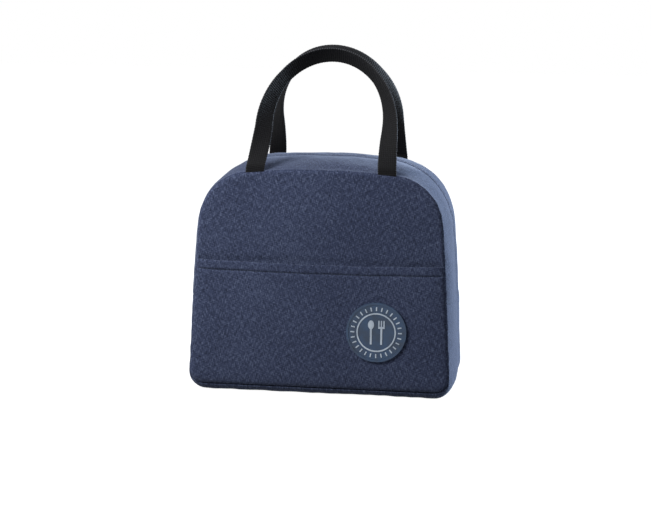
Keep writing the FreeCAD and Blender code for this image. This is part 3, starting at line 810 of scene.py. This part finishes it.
tape_depths = half_depth - np.linspace(0.75, 14.2, 9)
rounded_edge = np.array([0.18, 0, 0, 0, 0, 0, 0, 0, 0.18])
for flap, side in (("front", -1), ("rear", 1)):
    outer, cloth = gusset_grid(zip_marks, tape_depths, 2.65 + rounded_edge, np.full(9, half_depth))
    inner, _ = gusset_grid(zip_marks, tape_depths, 3.15 - rounded_edge, np.full(9, half_depth))
    if side > 0:
        outer, inner = mirrored_y(outer), mirrored_y(inner)
    tape = shell(f"zip_tape_{flap}_woven", outer, inner, cloth, zip_weave)
    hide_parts(f"zip_tape_{flap}")
    fold_with(tape)
    coil = coil_row(f"zip_coil_{flap}_wound", side)
    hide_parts(f"zip_coil_{flap}")
    fold_with(coil)


# Foil lining

def crinkle(grid, seed):
    """Small dents of a foil sheet, as distances."""
    return 0.35 * (0.6 * uneven(grid, 16.0, seed) + 0.4 * uneven(grid, 7.0, seed + 4.0))


foil_across, foil_up = np.linspace(0, 1, 73), np.linspace(0, 1, 61)
foil_flat = panel_grid(4.4, foil_across, foil_up)
foil_edge = np.clip((to_seam(foil_flat) - 4.0) / 10.0, 0, 1)
foil_y = np.full(foil_flat.shape[:2], -half_depth + 4.95)
foil_grid = np.stack([foil_flat[..., 0], foil_y, foil_flat[..., 1]], 2)
for name, flap, side, seed in (("front", "front_flap", -1, 3.0), ("back", "rear_flap", 1, 8.0)):
    inside = foil_grid.copy()
    inside[..., 1] += (0.3 + crinkle(foil_grid, seed)) * foil_edge + 0.25
    outside = inside.copy()
    outside[..., 1] -= 0.25
    if side > 0:
        inside, outside = mirrored_y(inside), mirrored_y(outside)
    lining = shell(f"{name}_lining_foil", inside, outside, foil_flat, lining_foil)
    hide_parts(f"{name}_lining")
    fold_with(lining)


def foil_strip(marks, depths, seed):
    """Inner and outer places of a foil strip inside the gusset."""
    outer, cloth = gusset_grid(marks, depths, 4.8)
    inner, _ = gusset_grid(marks, depths, 5.1)
    dents = 0.15 + crinkle(np.concatenate([cloth, np.zeros(cloth.shape[:2] + (1,))], 2), seed)
    away = np.clip((np.minimum(depths, 2 * half_depth - depths) - 5.0) / 6.0, 0, 1)[None, :, None]
    inner = inner - outward(cloth[..., 0]) * dents[..., None] * away
    return inner, outer, cloth


low_foil_depths = np.concatenate([[5.3, 6.0, 7.5], np.linspace(10, 113, 36), [115.5, 117.0, 117.7]])
low_foil_marks = np.arange(-fold_mark + 0.3, fold_mark - 0.2, inner_step)
inner, outer, cloth = foil_strip(low_foil_marks, low_foil_depths, 31.0)
lower_lining = shell("lower_lining_foil", inner, outer, cloth, lining_foil)
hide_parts("lower_lining")
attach(lower_lining, "body")

top_foil_depths = np.concatenate([[5.3, 6.0, 7.5], np.linspace(10, 46, 16), [46.8]])
top_foil_marks = np.arange(fold_mark + 0.3, seam_length - fold_mark - 0.2, inner_step)
top_inner, top_outer, cloth = foil_strip(top_foil_marks, top_foil_depths, 53.0)
for flap, side in (("front", -1), ("rear", 1)):
    inner = top_inner if side < 0 else mirrored_y(top_inner)
    outer = top_outer if side < 0 else mirrored_y(top_outer)
    lining = shell(f"top_lining_{flap}_foil", inner, outer, cloth, lining_foil)
    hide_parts(f"top_lining_{flap}")
    fold_with(lining)


# Binding tape over the raw seams inside

bind_insets = np.array([5.0, 5.3, 6.1, 7.4, 8.8, 10.2, 11.6, 12.5, 12.8])
bind_lift = np.array([0.1, 0.7, 1.1, 1.25, 1.3, 1.25, 1.1, 0.7, 0.1])


def seam_binding(first, last, side):
    """A folded tape along the inside of a panel's seam, between two distances along it."""
    marks = np.arange(first, last + 0.1, inner_step)[:, None]
    x, z = on_form(marks, 0.2, bind_insets[None])
    rolls = 0.1 * np.sin(marks * 2 * math.pi / 6.0)
    top_y = -half_depth + wall + 0.45 + bind_lift[None] + rolls * (bind_lift[None] > 0.5)
    base_y = np.full(x.shape, -half_depth + wall + 0.4)
    cloth = np.stack(np.broadcast_arrays(marks, bind_insets[None]), 2).astype(float)
    top, base = np.stack([x, top_y, z], 2), np.stack([x, base_y, z], 2)
    return (top, base, cloth) if side < 0 else (mirrored_y(top), mirrored_y(base), cloth)


for name, side, flap in (("front", -1, "front_flap"), ("back", 1, "rear_flap")):
    low = shell(f"{name}_seam_binding_lower_tape",
                *seam_binding(-fold_mark + 0.3, fold_mark - 0.3, side), seam_tape)
    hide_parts(f"{name}_seam_binding_lower")
    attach(low, "body")
    high = shell(f"{name}_seam_binding_upper_tape",
                 *seam_binding(fold_mark + 0.3, seam_length - fold_mark - 0.3, side), seam_tape)
    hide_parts(f"{name}_seam_binding_upper")
    fold_with(high)


def joint_binding():
    """Two short tapes across the inside, over the seams where the gusset's strips meet."""
    rows, cols = 8, 40
    depths = np.linspace(17.8, 2 * half_depth - 17.8, cols)
    lift = np.array([0.1, 0.85, 1.2, 1.25, 1.25, 1.2, 0.85, 0.1])
    heights = np.linspace(76.2, 85.8, rows)
    marks = np.array([seam_mark_at(height) for height in heights])
    places, faces, weave = [], [], []
    for turn in (1, -1):
        base, _ = gusset_grid(marks * turn, depths, 5.45)
        top = base - outward(np.repeat((marks * turn)[:, None], cols, 1)) * lift[:, None, None]
        faces += shell_faces(rows, cols, len(places) * rows * cols)
        places += [top.reshape(-1, 3), base.reshape(-1, 3)]
        cloth = np.stack(np.broadcast_arrays(depths[None], heights[:, None]), 2).reshape(-1, 2)
        weave += [cloth, cloth]
    return finish_mesh("gusset_seam_binding_tapes", np.concatenate(places), faces, np.concatenate(weave),
                       seam_tape)


joint_tapes = joint_binding()
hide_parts("gusset_seam_bindings")
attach(joint_tapes, "body")


# Handles

def handle_line():
    """Middle of the webbing in the handle's own plane, foot to foot, with distances along it."""
    foot = handle_span / 2
    arch_half = foot - handle_draw_in
    tail = np.stack([np.full(14, foot), np.linspace(-26.0, -1.5, 14)], 1)
    heights = np.linspace(0.0, handle_leg - 2.0, 22)
    leg = np.stack([arch_half + handle_draw_in * (1 - heights / handle_leg) ** 2, heights], 1)
    angles = np.linspace(0, math.pi / 2, 60)
    arch = np.stack([arch_half * np.cos(angles), handle_leg + handle_rise * np.sin(angles)], 1)
    half = np.concatenate([tail, leg, arch])
    line = np.concatenate([half, half[-2::-1] * np.array([-1.0, 1.0])])
    marks = np.concatenate([[0.0], np.cumsum(np.linalg.norm(np.diff(line, axis=0), axis=1))])
    wanted = np.linspace(0, marks[-1], 280)
    return np.stack([np.interp(wanted, marks, line[:, k]) for k in range(2)], 1), wanted


def handle_webbing(name, lean, sway, side, seed):
    """One length of ribbed webbing: sewn in at its feet, rolled inwards and slightly cupped over the arch."""
    line, marks = handle_line()
    line[:, 0] += sway * np.clip(line[:, 1] / 40.0, 0, 1)
    slope = np.gradient(line, axis=0)
    slope /= np.linalg.norm(slope, axis=1, keepdims=True)
    out = np.stack([slope[:, 1], np.zeros(len(line)), -slope[:, 0]], 1)
    wander = uneven(np.stack([marks, marks * 0, marks * 0], 1), 55.0, seed)
    turned = np.clip((line[:, 1] - 8.0) / 82.0, 0, 1)
    roll = handle_roll * turned + 0.09 * wander * np.clip(line[:, 1] / 30.0, 0, 1)
    forward = np.array([0.0, -1.0, 0.0])
    across = out * np.cos(roll)[:, None] + forward * np.sin(roll)[:, None]
    through = forward * np.cos(roll)[:, None] - out * np.sin(roll)[:, None]
    profile = np.linspace(0, 2 * math.pi, 33)[:-1]
    edge = np.sign(np.cos(profile)) * np.abs(np.cos(profile)) ** 0.35
    face = np.sign(np.sin(profile)) * np.abs(np.sin(profile)) ** 0.5
    scallop = 1.0 + 0.02 * np.sin(marks * 2 * math.pi / 2.8)
    cup = 1.3 * np.clip((line[:, 1] - 6.0) / 60.0, 0, 1)
    a = webbing_width / 2 * scallop[:, None] * edge[None]
    t = webbing_thickness / 2 * face[None] + cup[:, None] * (edge[None] ** 2 - 0.4)
    middle = np.stack([line[:, 0], np.zeros(len(line)), line[:, 1]], 1)
    places = middle[:, None] + a[..., None] * across[:, None] + t[..., None] * through[:, None]
    leaning = places @ np.array(Matrix.Rotation(-math.radians(lean), 3, "X")).T
    upright = places + np.array([0.0, 2.9, 0.0])
    share = np.clip((places[..., 2] + 0.5) / 10.0, 0, 1)[..., None]
    share = share * share * (3 - 2 * share)
    places = upright * (1 - share) + leaning * share + np.array([0.0, -hinge_side, hinge_height])
    if side > 0:
        places = mirrored_y(places)
    weave = np.stack(np.broadcast_arrays(marks[:, None], edge[None] * webbing_width / 2), 2)
    return finish_mesh(name, places.reshape(-1, 3), tube_faces(*places.shape[:2]), weave.reshape(-1, 2),
                       handle_weave)


for name, side, lean, sway in (("front", -1, 28.0, 2.4), ("rear", 1, 25.5, 0.0)):
    strap = handle_webbing(f"{name}_handle_webbing", lean, sway, side, 4.0 + lean)
    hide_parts(f"{name}_handle", f"{name}_handle_tails")
    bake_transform(strap)


# Pieces whose solids already have their shape

for node, material in (("zip_slider", zip_zinc), ("zip_pull", zip_zinc), ("badge_patch", badge_blue),
                       ("badge_inlay", badge_pale)):
    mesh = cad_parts[node].data
    mesh.materials.clear()
    mesh.materials.append(material)


# Floor, light and camera

def shown_white(tree, plain, white):
    """White to the camera and in what metal and gloss show of the room, and plain for the light it gives."""
    path = add(tree, "LightPath")
    shiny = add(tree, "Math", {0: path.outputs["Is Glossy Ray"], 1: path.outputs["Is Transmission Ray"]},
                operation="MAXIMUM")
    shown = add(tree, "Math", {0: path.outputs["Is Camera Ray"], 1: shiny.outputs["Value"]},
                operation="MAXIMUM")
    return add(tree, "MixShader", {0: shown.outputs["Value"], 1: plain, 2: white}).outputs["Shader"]


def pale_floor():
    """A plain sheet of paper: mid grey in the light it throws back, and white with the shadow on it where it
    shows."""
    size = 6.0
    corners = [(-size, -size, 0), (size, -size, 0), (size, size, 0), (-size, size, 0)]
    mesh = bpy.data.meshes.new("floor")
    mesh.from_pydata(corners, [], [(0, 1, 2, 3)])
    floor = bpy.data.objects.new("floor", mesh)
    scene.collection.objects.link(floor)
    material = bpy.data.materials.new("plain_paper")
    material.use_nodes = True
    tree = material.node_tree
    tree.nodes.clear()
    paper = add(tree, "BsdfDiffuse", {"Color": ink("#8f8f8f")})
    white = add(tree, "Emission", {"Color": ink("#ffffff"), "Strength": 0.95})
    lit = add(tree, "AddShader", {0: paper.outputs["BSDF"], 1: white.outputs["Emission"]})
    add(tree, "OutputMaterial", {"Surface": shown_white(tree, paper.outputs["BSDF"], lit.outputs["Shader"])})
    mesh.materials.append(material)


def soft_lamp(name, place, aim, size, power, tint):
    """A large square lamp that faces a place on the bag."""
    lamp = bpy.data.lights.new(name, "AREA")
    lamp.color = ink(tint)[:3]
    lamp.size = size
    lamp.energy = power
    holder = bpy.data.objects.new(name, lamp)
    holder.location = place
    holder.rotation_euler = (Vector(place) - Vector(aim)).to_track_quat("Z", "Y").to_euler()
    scene.collection.objects.link(holder)


def studio_world():
    """Even room light, and a white surround where it shows."""
    world = bpy.data.worlds.new("studio")
    scene.world = world
    world.use_nodes = True
    tree = world.node_tree
    tree.nodes.clear()
    room = add(tree, "Background", {"Color": ink("#ffffff"), "Strength": 0.21})
    white = add(tree, "Background", {"Color": ink("#ffffff"), "Strength": 1.0})
    shown = shown_white(tree, room.outputs["Background"], white.outputs["Background"])
    add(tree, "OutputWorld", {"Surface": shown})


def photo_camera():
    """A long lens from a little right of the front and a little above, as the photograph was taken."""
    photo_width, focal_length = 651, 1558.77  # in pixels of the photograph
    place = Vector((0.17649, -1.37166, 0.34380))
    target = Vector((-0.00263, 0.0, 0.11504))
    roll = math.radians(0.78)
    back = (place - target).normalized()
    right = Vector((0, 0, 1)).cross(back).normalized()
    up = back.cross(right)
    right, up = right * math.cos(roll) + up * math.sin(roll), up * math.cos(roll) - right * math.sin(roll)
    lens = bpy.data.cameras.new("camera")
    lens.sensor_width = 36.0
    lens.lens = lens.sensor_width * focal_length / photo_width
    camera = bpy.data.objects.new("camera", lens)
    camera.matrix_world = Matrix.Translation(place) @ Matrix((right, up, back)).transposed().to_4x4()
    scene.collection.objects.link(camera)
    scene.camera = camera


pale_floor()
studio_world()
soft_lamp("right_window", (1.0, 0.95, 0.3), (0.09, 0.0, 0.07), 0.7, 47.0, "#d8eaff")
soft_lamp("overhead", (-0.1, 0.35, 1.7), (0.0, 0.0, 0.15), 1.2, 12.0, "#eaf1ff")
soft_lamp("left_front", (-0.43, -0.44, 0.54), (-0.09, 0.0, 0.16), 0.3, 6.9, "#ffffff")
photo_camera()
scene.view_settings.view_transform = "Standard"
